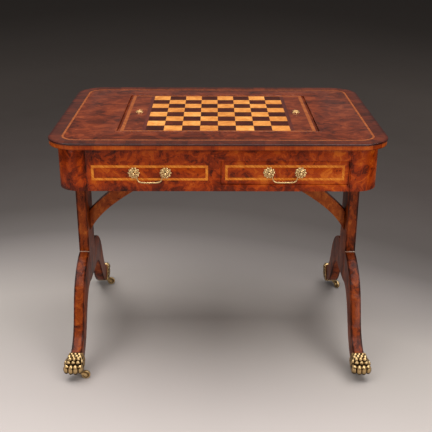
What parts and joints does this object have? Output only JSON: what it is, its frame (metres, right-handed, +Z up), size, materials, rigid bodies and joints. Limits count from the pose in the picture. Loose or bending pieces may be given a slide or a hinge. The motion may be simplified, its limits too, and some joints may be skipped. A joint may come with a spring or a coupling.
{
  "type": "chess table",
  "caption": "Chess and backgammon table with a lift-out inlaid board over a well, frieze drawers with bail pulls, and end supports on sabre legs with brass paws and casters.",
  "frame": {"origin": "on the floor, midway between the four feet", "axes": "+X along the length of the top, +Z up; -Y is the side shown in the picture, whose right-hand drawer opens towards -Y"},
  "size_m": [0.95, 0.7002, 0.7676],
  "materials": {
    "burl": "burl veneer under gloss lacquer",
    "crossband": "crossbanded veneer under gloss lacquer",
    "mahogany": "stained hardwood under gloss lacquer",
    "rosewood": "dark red-brown veneer under gloss lacquer",
    "light_inlay": "light veneer inlay under gloss lacquer",
    "light_square": "light burl veneer under gloss lacquer",
    "dark_square": "dark veneer under gloss lacquer",
    "lining": "plain satin secondary wood",
    "brass": "antiqued cast brass"
  },
  "bodies": {
    "table": {"apron_back": "burl", "apron_front": "burl", "board_ledges": "lining", "brace_battens": "lining", "braces": "mahogany", "corner_blocks": "burl", "dark_points": "rosewood", "drawer_divider": "lining", "drawer_guides": "lining", "drawer_kickers": "lining", "drawer_runners": "lining", "dummy_inlays": "light_inlay", "leg_back_left": "mahogany", "leg_back_right": "mahogany", "leg_front_left": "mahogany", "leg_front_right": "mahogany", "light_points": "light_inlay", "paws": "brass", "post_bearers": "lining", "posts": "mahogany", "pull_mounts_dummy": "brass", "recess_bead": "burl", "side_aprons": "burl", "top_edge_band": "crossband", "top_slab": "burl", "top_stringing": "light_inlay", "well_bar": "lining", "well_floor": "lining", "well_walls": "lining"},
    "front_drawer": {"front_drawer_front": "burl", "front_drawer_inlay": "light_inlay", "front_drawer_bottom": "lining", "front_drawer_sides_and_back": "lining", "pull_mounts_front_drawer": "brass"},
    "back_drawer": {"back_drawer_front": "burl", "back_drawer_inlay": "light_inlay", "back_drawer_bottom": "lining", "back_drawer_sides_and_back": "lining", "pull_mounts_back_drawer": "brass"},
    "bail_front_drawer_body": {"bail_front_drawer": "brass"},
    "bail_back_drawer_body": {"bail_back_drawer": "brass"},
    "bail_front_dummy_body": {"bail_front_dummy": "brass"},
    "bail_back_dummy_body": {"bail_back_dummy": "brass"},
    "board": {"board_core": "burl", "board_band": "light_inlay", "board_borders": "rosewood", "light_squares": "light_square", "dark_squares": "dark_square", "lift_plates": "brass"},
    "ring_left": {"lift_ring_left": "brass"},
    "ring_right": {"lift_ring_right": "brass"},
    "caster_front_left": {"caster_fork_front_left": "brass"},
    "wheel_front_left": {"caster_wheel_front_left": "brass"},
    "caster_front_right": {"caster_fork_front_right": "brass"},
    "wheel_front_right": {"caster_wheel_front_right": "brass"},
    "caster_back_left": {"caster_fork_back_left": "brass"},
    "wheel_back_left": {"caster_wheel_back_left": "brass"},
    "caster_back_right": {"caster_fork_back_right": "brass"},
    "wheel_back_right": {"caster_wheel_back_right": "brass"}
  },
  "joints": [
    {"name": "front_drawer_slide", "type": "slide", "parent": "table", "child": "front_drawer", "axis": [0, -1, 0], "range_m": [0, 0.33]},
    {"name": "back_drawer_slide", "type": "slide", "parent": "table", "child": "back_drawer", "axis": [0, 1, 0], "range_m": [0, 0.33]},
    {"name": "bail_front_drawer_swing", "type": "hinge", "parent": "front_drawer", "child": "bail_front_drawer_body", "pos_m": [0.1855, -0.325, 0.6715], "axis": [-1, 0, 0], "range_deg": [-15, 195]},
    {"name": "bail_front_dummy_swing", "type": "hinge", "parent": "table", "child": "bail_front_dummy_body", "pos_m": [-0.19, -0.328, 0.6715], "axis": [-1, 0, 0], "range_deg": [-15, 195]},
    {"name": "bail_back_drawer_swing", "type": "hinge", "parent": "back_drawer", "child": "bail_back_drawer_body", "pos_m": [-0.1855, 0.325, 0.6715], "axis": [1, 0, 0], "range_deg": [-15, 195]},
    {"name": "bail_back_dummy_swing", "type": "hinge", "parent": "table", "child": "bail_back_dummy_body", "pos_m": [0.19, 0.328, 0.6715], "axis": [1, 0, 0], "range_deg": [-15, 195]},
    {"name": "board_lift", "type": "slide", "parent": "table", "child": "board", "axis": [0, 0, 1], "range_m": [0, 0.06]},
    {"name": "ring_right_lift", "type": "hinge", "parent": "board", "child": "ring_right", "pos_m": [0.2363, 0, 0.76458], "axis": [0, -1, 0], "range_deg": [0, 180]},
    {"name": "ring_left_lift", "type": "hinge", "parent": "board", "child": "ring_left", "pos_m": [-0.2363, 0, 0.76458], "axis": [0, 1, 0], "range_deg": [0, 180]},
    {"name": "caster_front_left_swivel", "type": "hinge", "parent": "table", "child": "caster_front_left", "pos_m": [-0.4405, -0.318, 0.04], "axis": [0, 0, 1], "continuous": true},
    {"name": "wheel_front_left_spin", "type": "hinge", "parent": "caster_front_left", "child": "wheel_front_left", "pos_m": [-0.4065, -0.318, 0.014], "axis": [0, 1, 0], "continuous": true},
    {"name": "caster_front_right_swivel", "type": "hinge", "parent": "table", "child": "caster_front_right", "pos_m": [0.4405, -0.318, 0.04], "axis": [0, 0, 1], "continuous": true},
    {"name": "wheel_front_right_spin", "type": "hinge", "parent": "caster_front_right", "child": "wheel_front_right", "pos_m": [0.45902, -0.28948, 0.014], "axis": [-0.8387, 0.5446, 0], "continuous": true},
    {"name": "caster_back_left_swivel", "type": "hinge", "parent": "table", "child": "caster_back_left", "pos_m": [-0.4405, 0.318, 0.04], "axis": [0, 0, 1], "continuous": true},
    {"name": "wheel_back_left_spin", "type": "hinge", "parent": "caster_back_left", "child": "wheel_back_left", "pos_m": [-0.4065, 0.318, 0.014], "axis": [0, 1, 0], "continuous": true},
    {"name": "caster_back_right_swivel", "type": "hinge", "parent": "table", "child": "caster_back_right", "pos_m": [0.4405, 0.318, 0.04], "axis": [0, 0, 1], "continuous": true},
    {"name": "wheel_back_right_spin", "type": "hinge", "parent": "caster_back_right", "child": "wheel_back_right", "pos_m": [0.45902, 0.28948, 0.014], "axis": [0.8387, 0.5446, 0], "continuous": true}
  ]
}
